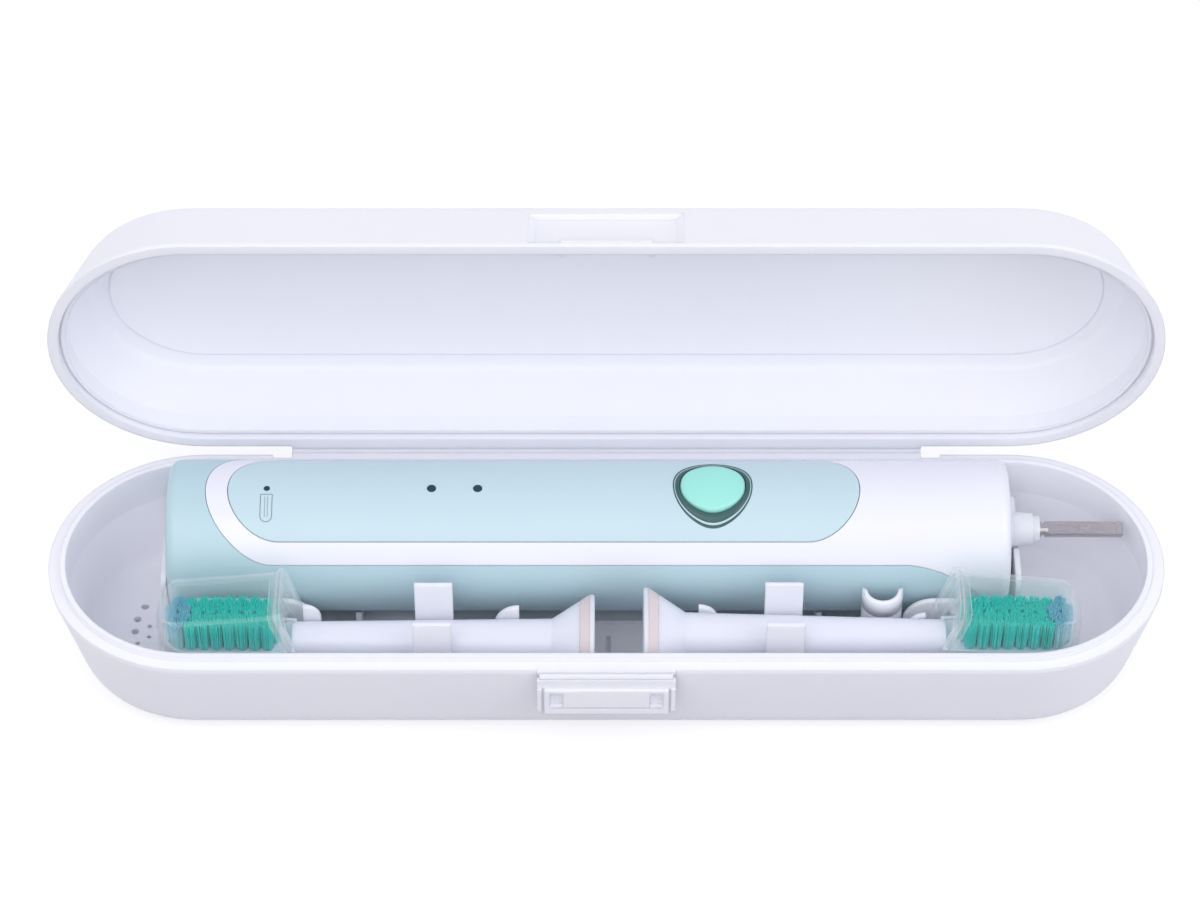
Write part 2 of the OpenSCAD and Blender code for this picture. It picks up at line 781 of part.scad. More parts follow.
// Channel shaped tray that carries the inner parts, with a cradle for the motor.
module tray() {
    color([0.75, 0.77, 0.80]) in_handle() {
        difference() {
            translate([tray_x0, -tray_half_w, tray_floor_z])
                cube([tray_x1 - tray_x0, 2 * tray_half_w, tray_top_z - tray_floor_z]);
            translate([tray_x0 + tray_wall, -tray_half_w + tray_wall, tray_floor_z + tray_wall])
                cube([tray_x1 - tray_x0 - 2 * tray_wall, 2 * (tray_half_w - tray_wall), cut]);
            translate([0, 0, shaft_off]) rod(shaft_r + 1, motor_x1, handle_x1);
            translate([motor_x1 - 1, -2.9, shaft_off]) cube([cut, 5.8, cut]);
        }
        difference() {
            for (x = [motor_x0 + 3, motor_x1 - 5]) translate([x, -6, tray_floor_z + tray_wall - 0.2])
                cube([2, 12, 6]);
            translate([0, 0, shaft_off]) rod(motor_r, motor_x0, motor_x1);
        }
    }
}

module battery_cell() {
    color([0.35, 0.55, 0.45]) in_handle()
        translate([0, 0, tray_floor_z + tray_wall + cell_r]) {
            rod(cell_r, cell_x0, cell_x0 + cell_l);
            rod(2.4, cell_x0 + cell_l - 1, cell_x0 + cell_l + 1);
        }
}

module drive_motor() {
    color(steel) in_handle() translate([0, 0, shaft_off]) {
        rod(motor_r, motor_x0 + 2, motor_x1 - 1);
        rod(motor_r - 2, motor_x0, motor_x1);
    }
}

module circuit_board() {
    color([0.15, 0.42, 0.30]) in_handle() {
        translate([tray_x0 + 1, -tray_half_w + 0.5, tray_top_z])
            cube([board_x1 - tray_x0 - 1, 2 * tray_half_w - 1, board_t]);
        translate([button_x - switch_w / 2, -switch_w / 2, tray_top_z + board_t - 0.1])
            cube([switch_w, switch_w, 1.9]);
        translate([button_x, 0, tray_top_z + board_t]) cylinder(r = 1.6, h = 2.4);
    }
}

module charge_coil() {
    color([0.72, 0.45, 0.25]) in_handle() difference() {
        rod(bore_r - 3, handle_x0 + 3.4, handle_x0 + 10.4);
        rod(recess_r + 1.25, handle_x0, handle_x0 + 20);
    }
}

// Brush frames: x from the skirt's open end to the tip, z to the bristles.
module in_brush_a() {
    translate([brush_a_x, brush_y, brush_z - brush_a_dip]) rotate([0, 0, 180])
        rotate([0, -brush_a_tilt, 0]) children();
}

module in_brush_b() {
    translate([brush_b_x, brush_y, brush_z + brush_b_rise]) rotate([0, brush_b_tilt, 0])
        children();
}

module head_plan(inset) {
    w = head_half_w - inset;
    translate([brush_l - head_half_w, 0]) circle(w);
    polygon([[head_x + inset, -w * 0.9], [head_x + 7, -w], [brush_l - head_half_w, -w],
        [brush_l - head_half_w, w], [head_x + 7, w], [head_x + inset, w * 0.9]]);
}

module brush_body() {
    band0 = skirt_lip;
    band1 = skirt_lip + skirt_band;
    band_sink = 0.6;
    color(white) {
        difference() {
            union() {
                rotate([0, 90, 0]) rotate_extrude() difference() {
                    polygon([[0, 0], [skirt_r - 0.3, 0], [skirt_r, 0.3], [skirt_r, skirt_lip],
                        [neck_r0 + 0.3, skirt_l - 0.5], [neck_r0, skirt_l],
                        [neck_r1, head_x], [neck_r1 - 1.2, head_x + 6], [0, head_x + 6]]);
                    polygon([[0, -1], [skirt_r - skirt_wall, -1], [skirt_r - skirt_wall, 0.6],
                        [neck_r0 - 0.6, skirt_l - 2], [0, skirt_l - 2]]);
                    polygon([[band_r(band0) - band_sink, band0], [skirt_r + 1, band0],
                        [skirt_r + 1, band1], [band_r(band1) - band_sink, band1]]);
                    square([insert_r, skirt_l - 2 + insert_l]);
                    square([brush_bore_r, shaft_out + 4]);
                }
                intersection() {
                    translate([0, 0, -cut / 2]) linear_extrude(cut / 2 + head_top) head_plan(0);
                    translate([0, 0, 1.8]) rod(head_half_w + 0.6, head_x, brush_l);
                }
            }
            translate([0, 0, head_top - field_sink]) linear_extrude(cut) head_plan(0.7);
            translate([0, 0, head_top]) linear_extrude(cut)
                translate([head_x + 1, -cut]) square([cut, 2 * cut]);
        }
    }
}

function band_r(x) = skirt_r + (neck_r0 + 0.3 - skirt_r) * (x - skirt_lip) / (skirt_l - 0.5 - skirt_lip);

module brush_band() {
    band1 = skirt_lip + skirt_band;
    color([0.88, 0.84, 0.84]) rotate([0, 90, 0]) rotate_extrude()
        polygon([[band_r(skirt_lip) - 0.6, skirt_lip], [band_r(skirt_lip), skirt_lip],
            [band_r(band1), band1], [band_r(band1) - 0.6, band1]]);
}

module brush_insert() {
    color([0.80, 0.82, 0.86]) difference() {
        rod(insert_r, skirt_l - 2, skirt_l - 2 + insert_l);
        difference() {
            rod(brush_bore_r, 0, cut);
            translate([skirt_l + 6, -cut, shaft_flat + 0.15]) cube([cut, 2 * cut, cut]);
        }
    }
}

// One tuft: a strand in the middle and six round it.
module tuft(h) {
    linear_extrude(h) {
        circle(strand_r, $fn = 3);
        for (k = [0 : 60 : 300]) rotate(k) translate([strand_pitch, 0]) circle(strand_r, $fn = 3);
    }
}

// Rows of tufts from one tuft number to another, the outer rows set half a pitch on.
module tuft_rows(first, inner_last, outer_last) {
    for (side = [-1, 1]) {
        for (i = [first : inner_last])
            translate([head_x + tuft_start + i * tuft_pitch, side * row_pitch / 2, 0]) children();
        for (i = [first : outer_last])
            translate([head_x + tuft_start + (i + 0.5) * tuft_pitch, side * row_pitch * 1.5, 0])
                children();
    }
}

// Part of the head under the tip's own tufts: two inner tufts and one outer tuft each side.
module tip_area() {
    far = head_x + tuft_start + (inner_tufts - 2.5) * tuft_pitch;
    near = far + tuft_pitch / 2;
    polygon([[far, -row_pitch], [near, -row_pitch], [near, -cut], [cut * 4, -cut],
        [cut * 4, cut], [near, cut], [near, row_pitch], [far, row_pitch]]);
}

module brush_bristles() {
    color([0.10, 0.70, 0.64]) {
        translate([0, 0, head_top - field_sink]) linear_extrude(field_sink) difference() {
            head_plan(0.75);
            tip_area();
        }
        translate([0, 0, head_top - 0.2])
            tuft_rows(0, inner_tufts - 3, outer_tufts - 2) tuft(bristle_h + 0.2);
    }
}

module brush_tip_bristles() {
    color([0.35, 0.62, 0.78]) {
        translate([0, 0, head_top - field_sink]) linear_extrude(field_sink) intersection() {
            head_plan(0.75);
            tip_area();
        }
        translate([0, 0, head_top - 0.2])
            tuft_rows(inner_tufts - 2, inner_tufts - 1, outer_tufts - 1) tuft(bristle_h + 0.9);
    }
}

// Height of the cap's roof at a place along it.
function cap_roof(x) = cap_top - tan(cap_tilt) * (x - cap_x0 - cap_slant);

// All that lies between two leaning planes, which cross the cap's lower edge at x0 and x1.
module cap_slice(x0, x1) {
    over = 8;
    low = -cap_down - over;
    high = cap_top + over;
    rotate([90, 0, 0]) translate([0, 0, -cut / 2]) linear_extrude(cut)
        polygon([[x0 - over * cap_lean, low], [x1 - over * cap_lean, low],
            [x1 + (high + cap_down) * cap_lean, high], [x0 + (high + cap_down) * cap_lean, high]]);
}

// The cap's outer form, or its inner form where inset is its wall, from the plane at start on.
module cap_form(inset, start) {
    x1 = cap_x0 + cap_l - inset;
    xn = x1 - cap_nose + inset;
    w = cap_half_w - inset;
    corner = cap_corner - inset;
    nose = cap_nose - inset;
    low = inset > 0 ? -cap_down - 1 : -cap_down;
    over = 8;
    intersection() {
        cap_slice(start, start + 2 * cap_l);
        translate([0, cut / 2, 0]) rotate([90, 0, 0]) linear_extrude(cut) {
            translate([0, low]) square([xn, cap_top + over - low]);
            translate([xn - 1, low]) square([nose + 1, cap_roof(xn) - inset - nose - low]);
            translate([xn, cap_roof(xn) - inset - nose]) circle(nose);
        }
        translate([cap_x0 + cap_slant, 0, cap_top]) rotate([0, cap_tilt, 0])
            translate([-2 * cap_l, 0, -cap_top]) rotate([90, 0, 90]) linear_extrude(4 * cap_l) {
                translate([-w, low - over]) square([2 * w, cap_top - inset - corner - low + over]);
                translate([-w + corner, low - over])
                    square([2 * (w - corner), cap_top - inset - low + over]);
                for (s = [-1, 1]) translate([s * (w - corner), cap_top - inset - corner])
                    circle(corner);
            }
        translate([0, 0, -cut / 2]) linear_extrude(cut) {
            translate([0, -w]) square([x1 - w, 2 * w]);
            translate([x1 - w, 0]) circle(w);
        }
    }
}

// The clear cap: a room over the bristles, a wall with a slot for the neck, and an open mouth
// with a rim in front of that wall.
module brush_cap() {
    mouth = cap_x0 - cap_hood;
    slot_r = head_half_w + rest_gap;
    color(clear) difference() {
        union() {
            cap_form(0, mouth);
            intersection() {
                cap_form(-cap_rim, mouth);
                cap_slice(mouth - 1, mouth + 0.9);
            }
        }
        cap_form(cap_wall, cap_x0 + cap_wall);
        intersection() {
            cap_form(cap_wall, mouth - 4);
            cap_slice(mouth - 2, cap_x0);
        }
        translate([cap_x0 - 2, 0, 0]) {
            rotate([0, 90, 0]) cylinder(r = slot_r, h = 8);
            translate([0, -slot_r, -cut / 2]) cube([8, 2 * slot_r, cut / 2]);
        }
    }
}

module brush_a_body() {
    in_brush_a() brush_body();
}

module brush_a_band() {
    in_brush_a() brush_band();
}

module brush_a_insert() {
    in_brush_a() brush_insert();
}

module brush_a_bristles() {
    in_brush_a() brush_bristles();
}

module brush_a_tip_bristles() {
    in_brush_a() brush_tip_bristles();
}

module brush_a_cap() {
    in_brush_a() brush_cap();
}

module brush_b_body() {
    in_brush_b() brush_body();
}

module brush_b_band() {
    in_brush_b() brush_band();
}

module brush_b_insert() {
    in_brush_b() brush_insert();
}

module brush_b_bristles() {
    in_brush_b() brush_bristles();
}

module brush_b_tip_bristles() {
    in_brush_b() brush_tip_bristles();
}

module brush_b_cap() {
    in_brush_b() brush_cap();
}

base_shell();
neck_clip_a();
neck_clip_b();
lid_shell();
hinge_web();
latch_flap();
latch_web();
handle_back_shell();
handle_front_shell();
control_panel();
button_ring();
power_button();
led_lens_1();
led_lens_2();
charge_lens();
handle_bottom_cap();
neck_collar();
drive_shaft();
tray();
battery_cell();
drive_motor();
circuit_board();
charge_coil();
brush_a_body();
brush_a_band();
brush_a_insert();
brush_a_bristles();
brush_a_tip_bristles();
brush_a_cap();
brush_b_body();
brush_b_band();
brush_b_insert();
brush_b_bristles();
brush_b_tip_bristles();
brush_b_cap();
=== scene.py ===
# An open travel case for a sonic toothbrush: white case, pale blue handle, two capped brush heads.
# Everything is in metres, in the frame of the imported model: +X along the case, +Y to the hinge,
# +Z up, with the origin under the middle of the base. The lid stands open, as in the photograph.
import math
import random

import bmesh
import bpy
from mathutils import Matrix, Vector


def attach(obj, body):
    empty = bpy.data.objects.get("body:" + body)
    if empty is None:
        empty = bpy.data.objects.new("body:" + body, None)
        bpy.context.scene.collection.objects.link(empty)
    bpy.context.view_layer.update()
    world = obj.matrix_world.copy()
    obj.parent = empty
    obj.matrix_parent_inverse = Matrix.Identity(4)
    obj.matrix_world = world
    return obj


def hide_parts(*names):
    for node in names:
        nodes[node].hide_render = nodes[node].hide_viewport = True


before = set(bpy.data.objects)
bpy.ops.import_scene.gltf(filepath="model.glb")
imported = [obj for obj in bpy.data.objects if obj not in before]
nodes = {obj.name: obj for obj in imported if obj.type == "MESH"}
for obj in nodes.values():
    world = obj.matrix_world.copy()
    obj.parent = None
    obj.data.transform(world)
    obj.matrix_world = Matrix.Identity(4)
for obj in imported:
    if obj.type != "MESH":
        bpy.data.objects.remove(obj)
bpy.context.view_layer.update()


# The camera stands in front of the case and looks down on it, far enough away that the long
# sides stay nearly parallel. It was fitted to the rim's corners in the photograph.
mm = 0.001
PHOTO_WIDTH, PHOTO_HEIGHT = 1200, 900
SENSOR_MM = 36
look_down = math.radians(45.27)
lens_px = 4186.0                       # focal length in pixels of the photograph
sight_mm = 885                         # from the lens to the rim
rim_back = Vector((0, 30.5, 24)) * mm  # middle of the base's back rim, which the fit starts from
rim_back_px = (606.4, 454.7)           # where the photograph shows that point
camera = bpy.data.objects.new("camera", bpy.data.cameras.new("camera"))
bpy.context.scene.collection.objects.link(camera)
camera.data.sensor_width = SENSOR_MM
camera.data.lens = lens_px / PHOTO_WIDTH * SENSOR_MM
sight = Vector((0, math.cos(look_down), -math.sin(look_down)))
camera.location = rim_back - sight * sight_mm * mm
camera.rotation_euler = (math.pi / 2 - look_down, 0, 0)
camera.data.shift_x = -(rim_back_px[0] - PHOTO_WIDTH / 2) / PHOTO_WIDTH
camera.data.shift_y = (rim_back_px[1] - PHOTO_HEIGHT / 2) / PHOTO_WIDTH
camera.data.clip_start, camera.data.clip_end = 0.01, 20
bpy.context.scene.camera = camera


# The studio is a sweep of matt paper that the case stands on, under a pale sky and four broad
# softboxes. The paper lights the case as light grey does, but the camera, and what it sees in
# gloss and through clear plastic, sees it as plain white with the case's shadow.
def linear(hex_colour):
    """The opaque linear colour of an sRGB hex value."""
    parts = [int(hex_colour[i:i + 2], 16) / 255 for i in (1, 3, 5)]
    return [c / 12.92 if c <= 0.04045 else ((c + 0.055) / 1.055) ** 2.4 for c in parts] + [1.0]


def add_node(tree, kind, inputs=None, **settings):
    """Adds a shader node with its settings; an input is a value, or a socket to link from."""
    node = tree.nodes.new(kind)
    for name, value in settings.items():
        setattr(node, name, value)
    for name, value in (inputs or {}).items():
        if isinstance(value, bpy.types.NodeSocket):
            tree.links.new(value, node.inputs[name])
        else:
            node.inputs[name].default_value = value
    return node


def new_finish(name):
    """A new material, its node tree and its Principled shader."""
    finish = bpy.data.materials.new(name)
    finish.use_nodes = True
    tree = finish.node_tree
    return finish, tree, tree.nodes["Principled BSDF"]


scene = bpy.context.scene
scene.view_settings.view_transform = "Standard"
sky_colour, sky_strength = "#F8F9FE", 0.805
world = bpy.data.worlds.new("studio")
scene.world = world
world.use_nodes = True
world.node_tree.nodes["Background"].inputs["Color"].default_value = linear(sky_colour)
world.node_tree.nodes["Background"].inputs["Strength"].default_value = sky_strength

sweep_half = 4
paper_shine = 0.67                     # what the paper's light grey lacks to look white
grains_per_metre = 900                 # coarser than real paper's, so that they show
sweep_corners = [(x * sweep_half, y * sweep_half, 0) for x, y in ((-1, -1), (1, -1), (1, 1), (-1, 1))]
sweep_mesh = bpy.data.meshes.new("sweep")
sweep_mesh.from_pydata(sweep_corners, [], [(0, 1, 2, 3)])
sweep = bpy.data.objects.new("sweep", sweep_mesh)
scene.collection.objects.link(sweep)
paper, tree, shader = new_finish("matt_white_backdrop_paper")
shader.inputs["Base Color"].default_value = linear("#A8A8AE")
shader.inputs["Roughness"].default_value = 0.9
grain = add_node(tree, "ShaderNodeTexNoise", {"Scale": grains_per_metre, "Detail": 2.0})
fleck = add_node(tree, "ShaderNodeBump", {"Strength": 0.05, "Distance": 0.1 * mm,
                                          "Height": grain.outputs["Fac"]})
tree.links.new(fleck.outputs["Normal"], shader.inputs["Normal"])
shine = add_node(tree, "ShaderNodeEmission", {"Color": linear("#FFFFFF"), "Strength": paper_shine})
rays = add_node(tree, "ShaderNodeLightPath")
seen = add_node(tree, "ShaderNodeMath", {0: rays.outputs["Is Camera Ray"], 1: rays.outputs["Is Glossy Ray"]},
                operation="MAXIMUM")
seen = add_node(tree, "ShaderNodeMath", {0: seen.outputs[0], 1: rays.outputs["Is Transmission Ray"]},
                operation="MAXIMUM")
both = add_node(tree, "ShaderNodeAddShader", {0: shader.outputs[0], 1: shine.outputs[0]})
lit = add_node(tree, "ShaderNodeMixShader", {0: seen.outputs[0], 1: shader.outputs[0], 2: both.outputs[0]})
tree.links.new(lit.outputs[0], tree.nodes["Material Output"].inputs["Surface"])
sweep_mesh.materials.append(paper)

lamp_aim = Vector((0, 0, 0.03))
for name, place, size, watts, colour in (("key_softbox", (-0.35, -0.8, 1.08), 0.9, 3.8, "#FFFEFC"),
                                         ("fill_softbox", (0.85, -0.45, 0.75), 0.8, 3.2, "#F8FAFF"),
                                         ("left_softbox", (-0.95, 0.05, 0.6), 0.8, 0.7, "#FFFFFF"),
                                         ("front_softbox", (0.0, -1.25, 0.62), 0.9, 1.3, "#FFFFFF")):
    lamp = bpy.data.objects.new(name, bpy.data.lights.new(name, "AREA"))
    lamp.data.shape, lamp.data.size = "SQUARE", size
    lamp.data.energy, lamp.data.color = watts, linear(colour)[:3]
    lamp.location = place
    lamp.rotation_euler = (lamp_aim - Vector(place)).to_track_quat("-Z", "Y").to_euler()
    scene.collection.objects.link(lamp)


# The case is one moulding in white polypropylene: base, lid, clips, flap and the thin webs that
# bend all come from the same tool. It is satin and a little waxy, so that light goes a short way
# in and its shadows stay soft.
def moulded_plastic(name, colour, deeper, roughness, drift_mm, orange_peel_mm, peel_depth_mm, waxy=0.0,
                    edge_mm=0.25):
    """A moulded plastic, which the eye knows by its slow drift of tone, by the ripple that the tool
    leaves in its gloss, and by edges that catch the light as if rounded to a radius. The ripple is
    coarser than a real grain, which is too fine to show."""
    finish, tree, shader = new_finish(name)
    place = add_node(tree, "ShaderNodeTexCoord").outputs["Object"]
    drift = add_node(tree, "ShaderNodeTexNoise",
                     {"Vector": place, "Scale": 1 / (drift_mm * mm), "Detail": 3.0})
    tone = add_node(tree, "ShaderNodeMix", {"Factor": drift.outputs["Fac"], "A": linear(colour),
                                            "B": linear(deeper)}, data_type="RGBA")
    tree.links.new(tone.outputs["Result"], shader.inputs["Base Color"])
    ripple = add_node(tree, "ShaderNodeTexNoise",
                      {"Vector": place, "Scale": 1 / (orange_peel_mm * mm), "Detail": 2.0})
    rounded = add_node(tree, "ShaderNodeBevel", {"Radius": edge_mm * mm}, samples=4)
    peel = add_node(tree, "ShaderNodeBump", {"Strength": 1.0, "Distance": peel_depth_mm * mm,
                                             "Height": ripple.outputs["Fac"], "Normal": rounded.outputs[0]})
    tree.links.new(peel.outputs["Normal"], shader.inputs["Normal"])
    sheen_drift = 0.04
    sheen = add_node(tree, "ShaderNodeMapRange",
                     {"Value": drift.outputs["Fac"], "To Min": roughness - sheen_drift,
                      "To Max": roughness + sheen_drift})
    tree.links.new(sheen.outputs["Result"], shader.inputs["Roughness"])
    shader.inputs["IOR"].default_value = 1.49
    if waxy:
        light_depth_mm = 3
        shader.inputs["Subsurface Weight"].default_value = waxy
        shader.inputs["Subsurface Radius"].default_value = (1.0, 0.97, 0.95)
        shader.inputs["Subsurface Scale"].default_value = light_depth_mm * mm
    return finish


def dress(finish, *node_names):
    """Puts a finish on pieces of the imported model."""
    for node_name in node_names:
        piece = nodes[node_name].data
        piece.materials.clear()
        piece.materials.append(finish)


polypropylene = moulded_plastic("white_polypropylene_satin", "#F6F6FD", "#F2F2FB", 0.36, 40, 0.9, 0.004,
                                waxy=0.3, edge_mm=0.5)
dress(polypropylene, "base_shell", "lid_shell", "neck_clip_a", "neck_clip_b", "hinge_web", "latch_flap",
      "latch_web")


# The half pipe post between the handle and the right brush's neck, part of the base's moulding,
# ends in a nearly level top edge, so a collar of the same white plastic fills the hollow between
# its two horns.
def add_piece(name, mesh, finish, body, frame_matrix=None, smooth=True):
    """A new piece from a bmesh: dressed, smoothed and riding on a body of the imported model."""
    data = bpy.data.meshes.new(name)
    mesh.to_mesh(data)
    mesh.free()
    for face in data.polygons:
        face.use_smooth = smooth
    data.materials.append(finish)
    piece = bpy.data.objects.new(name, data)
    if frame_matrix:
        piece.matrix_world = frame_matrix
    bpy.context.scene.collection.objects.link(piece)
    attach(piece, body)
    return piece


def join_rings(mesh, rings, closed=True):
    """Faces between neighbouring rings of corners."""
    for low, high in zip(rings, rings[1:]):
        for k in range(len(low) if closed else len(low) - 1):
            after = (k + 1) % len(low)
            mesh.faces.new((low[k], low[after], high[after], high[k]))


post_middle, post_outer, post_inner = Vector((56.8, -6.4)), 4.23, 3.17
collar_low, collar_high, collar_round = 18.0, 22.2, 0.25
collar_steps = 32
collar_profile = ((post_outer, collar_low), (post_outer, collar_high - collar_round),
                  (post_outer - collar_round, collar_high), (post_inner + collar_round, collar_high),
                  (post_inner, collar_high - collar_round), (post_inner, collar_low))
mesh = bmesh.new()
rings = []
for radius, height in collar_profile:
    rings.append([])
    for k in range(collar_steps + 1):
        turn = math.pi + math.pi * k / collar_steps
        corner = Vector((post_middle.x + radius * math.cos(turn),
                         post_middle.y + radius * math.sin(turn), height))
        rings[-1].append(mesh.verts.new(corner * mm))
join_rings(mesh, rings + [rings[0]], closed=False)
for k in (0, -1):
    mesh.faces.new([ring[k] for ring in rings])
bmesh.ops.recalc_face_normals(mesh, faces=mesh.faces)
add_piece("post_top", mesh, polypropylene, "base")


# The handle's back shell and the cap that closes its lower end are pale blue ABS, moulded with a
# fine satin grain, so that they shade softly from top to bottom without a sharp highlight.
blue_abs = moulded_plastic("pale_blue_satin_abs", "#C0DAE2", "#B8D4DD", 0.36, 30, 0.7, 0.003)
dress(blue_abs, "handle_back_shell", "handle_bottom_cap")


# The front shell is white ABS from a polished tool, joined to the back shell along one seam. It
# frames the panel and makes up the whole neck end, where its gloss gives broad, bright bands.
white_abs = moulded_plastic("white_gloss_abs", "#F1F1F9", "#EBECF6", 0.22, 30, 1.2, 0.002)
dress(white_abs, "handle_front_shell")


# The control panel is an icy blue film, printed from behind and laid flush into the front shell.
# Its satin face shows one soft, even tone.
panel_film = moulded_plastic("icy_blue_printed_film", "#C9E0E7", "#C3DBE4", 0.38, 25, 2.0, 0.002)
dress(panel_film, "control_panel")


# The power button is a moulded mint elastomer dome, three cornered with full, round sides, and
# translucent enough to glow at its edges. It is set in a wider opening, with its lower corner
# drawn in, so that the seal round it is broadest there.
handle_y, handle_z, handle_roll, handle_r = 10.8, 20.05, math.radians(6), 15.75
handle_frame = (Matrix.Translation(Vector((0, handle_y, handle_z)) * mm)
                @ Matrix.Rotation(handle_roll, 4, "X"))
button_x, button_rise, button_crown = 21.9, 0.8, 40
outline_steps = 120
corner_out, corner_r, side_back = 2.4, 4.6, 1.6
side_r = corner_r + math.sqrt(side_back ** 2 + corner_out ** 2 + corner_out * side_back)
side_turn = math.atan2(corner_out * math.sin(math.pi / 3), side_back + corner_out / 2)
corner_drawn_in = 0.78


def button_outline(grow):
    """The three cornered outline, its point to -y: a corner or side arc for each way it faces."""
    points = []
    for k in range(outline_steps):
        facing = math.tau * k / outline_steps
        side = round(facing / (math.tau / 3))
        away = facing - side * math.tau / 3
        if abs(away) <= side_turn:
            middle = Vector((math.sin(side * math.tau / 3), math.cos(side * math.tau / 3))) * -side_back
            reach = side_r
        else:
            corner = (side + (0.5 if away > 0 else -0.5)) * math.tau / 3
            middle, reach = Vector((math.sin(corner), math.cos(corner))) * corner_out, corner_r
        points.append(middle + Vector((math.sin(facing), math.cos(facing))) * (reach + grow))
    return points


def blunt_outline(grow):
    """The dome's own outline, with the corner to -y drawn in."""
    return [Vector((p.x, p.y * (corner_drawn_in if p.y < 0 else 1))) for p in button_outline(grow)]


def on_handle(x, y, rise, crown=None):
    """A point over the handle's skin at a height; a crown bends it down along the handle too."""
    r = handle_r + rise
    if crown:
        r += math.sqrt(crown ** 2 - x ** 2) - crown
    return Vector((button_x + x, y, math.sqrt(r ** 2 - y ** 2))) * mm


mint_rubber = moulded_plastic("mint_translucent_elastomer", "#A9EFE3", "#9FE9DC", 0.38, 8, 0.4, 0.004,
                              waxy=0.4)
# How far each ring of the dome is drawn in, its share of the outline, and its drop from the top.
dome_profile = ((0, 1, 2.6), (0, 1, 0.55), (-0.1, 1, 0.24), (-0.28, 1, 0.07), (-0.55, 1, 0.0),
                (-0.55, 0.8, 0.0), (-0.55, 0.6, 0.0), (-0.55, 0.4, 0.0), (-0.55, 0.2, 0.0))
mesh = bmesh.new()
rings = []
for grow, share, drop in dome_profile:
    rings.append([mesh.verts.new(on_handle(p.x * share, p.y * share, button_rise - drop, button_crown))
                  for p in blunt_outline(grow)])
join_rings(mesh, rings)
top = mesh.verts.new(on_handle(0, 0, button_rise, button_crown))
for k in range(outline_steps):
    mesh.faces.new((rings[-1][k], rings[-1][(k + 1) % outline_steps], top))
bmesh.ops.recalc_face_normals(mesh, faces=mesh.faces)
button = add_piece("power_button_dome", mesh, mint_rubber, "button", handle_frame)
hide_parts("power_button")


# The seal round the button is a dark green elastomer ring with a soft sheen, moulded into the
# panel's opening. A groove runs along it near its outer edge, and there the pale blue of the panel
# shows as a line.
green_rubber = moulded_plastic("dark_green_elastomer", "#3E6363", "#365A5A", 0.3, 6, 0.4, 0.004)
ring_clearance, ring_reach = 0.14, 1.52
groove_from, groove_to = 0.64, 0.8
# Share of the way from the dome to the panel, and height over the handle's skin.
ring_profile = ((0.0, -1.7), (0.0, -0.1), (0.04, 0.06), (0.15, 0.18), (0.34, 0.2), (0.52, 0.12),
                (0.62, -0.02), (groove_from, -0.12), (0.72, -0.14), (groove_to, -0.04), (0.84, 0.08),
                (0.91, 0.13), (0.97, 0.1), (1.0, 0.0), (1.0, -0.3))
edges = list(zip(blunt_outline(ring_clearance), button_outline(ring_reach)))
mesh = bmesh.new()
rings = []
for share, rise in ring_profile:
    rings.append([mesh.verts.new(on_handle(*near.lerp(far, share), rise)) for near, far in edges])
join_rings(mesh, rings)
bmesh.ops.recalc_face_normals(mesh, faces=mesh.faces)
ring = add_piece("button_seal_ring", mesh, green_rubber, "handle", handle_frame)
ring.data.materials.append(panel_film)
for face in ring.data.polygons:
    face_share = ring_profile[face.index // outline_steps][0]
    face.material_index = 1 if groove_from <= face_share < groove_to else 0
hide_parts("button_ring")


# The charge mark is the usual outline of an upright battery with two bars in it, pad printed in
# grey on the panel, beside its lamp. The ink lies on the film as a thin skin with little gloss.
ink_rise, ink_step = 0.015, 0.4


def add_line(mesh, points, width):
    """A printed line on the handle's skin through points (x along the handle, arc to the front)."""
    rim, fine = [], [points[0]]
    for start, end in zip(points, points[1:]):
        parts = max(1, math.ceil(math.dist(start, end) / ink_step))
        fine += [Vector(start).lerp(Vector(end), k / parts) for k in range(1, parts + 1)]
    for k, here in enumerate(fine):
        before, after = fine[max(k - 1, 0)], fine[min(k + 1, len(fine) - 1)]
        way = (Vector(after) - Vector(before)).normalized()
        across = Vector((-way.y, way.x)) * width / 2
        rim.append([])
        for side in (-1, 1):
            x, arc = Vector(here) + across * side
            turn = arc / handle_r
            rim[-1].append(mesh.verts.new(Vector((x, -(handle_r + ink_rise) * math.sin(turn),
                                                  (handle_r + ink_rise) * math.cos(turn))) * mm))
    for low, high in zip(rim, rim[1:]):
        mesh.faces.new((low[0], low[1], high[1], high[0]))


grey_print = moulded_plastic("grey_pad_print", "#7F929A", "#8C9DA4", 0.5, 1.5, 0.3, 0.001)
mark_x, mark_half, mark_near, mark_far = -69.9, 1.2, 1.5, 7.6
outline_width, bar_width, bar_aside = 0.2, 0.12, 0.3
bar_near, bar_far = mark_near + 0.5, mark_far - 1.0
mark_left, mark_right = mark_x - mark_half, mark_x + mark_half
foot_steps = 12
mesh = bmesh.new()
foot = [(mark_x + mark_half * math.cos(t), mark_far - mark_half + mark_half * math.sin(t))
        for t in [math.pi * k / foot_steps for k in range(foot_steps + 1)]]
add_line(mesh, [(mark_right, mark_near)] + foot + [(mark_left, mark_near)], outline_width)
add_line(mesh, [(mark_left, mark_near), (mark_right, mark_near)], outline_width)
for aside in (-bar_aside, bar_aside):
    add_line(mesh, [(mark_x + aside, bar_near), (mark_x + aside, bar_far)], bar_width)
bmesh.ops.recalc_face_normals(mesh, faces=mesh.faces)
add_piece("battery_mark", mesh, grey_print, "handle", handle_frame, smooth=False)


# The three lamps shine through light pipes of smoked acrylic, moulded with a clear gloss and
# pressed in flush. They look nearly black while the lamps are off.
smoked_acrylic = moulded_plastic("smoked_acrylic", "#1E4652", "#173A46", 0.12, 3, 1.0, 0.001)
dress(smoked_acrylic, "led_lens_1", "led_lens_2", "charge_lens")


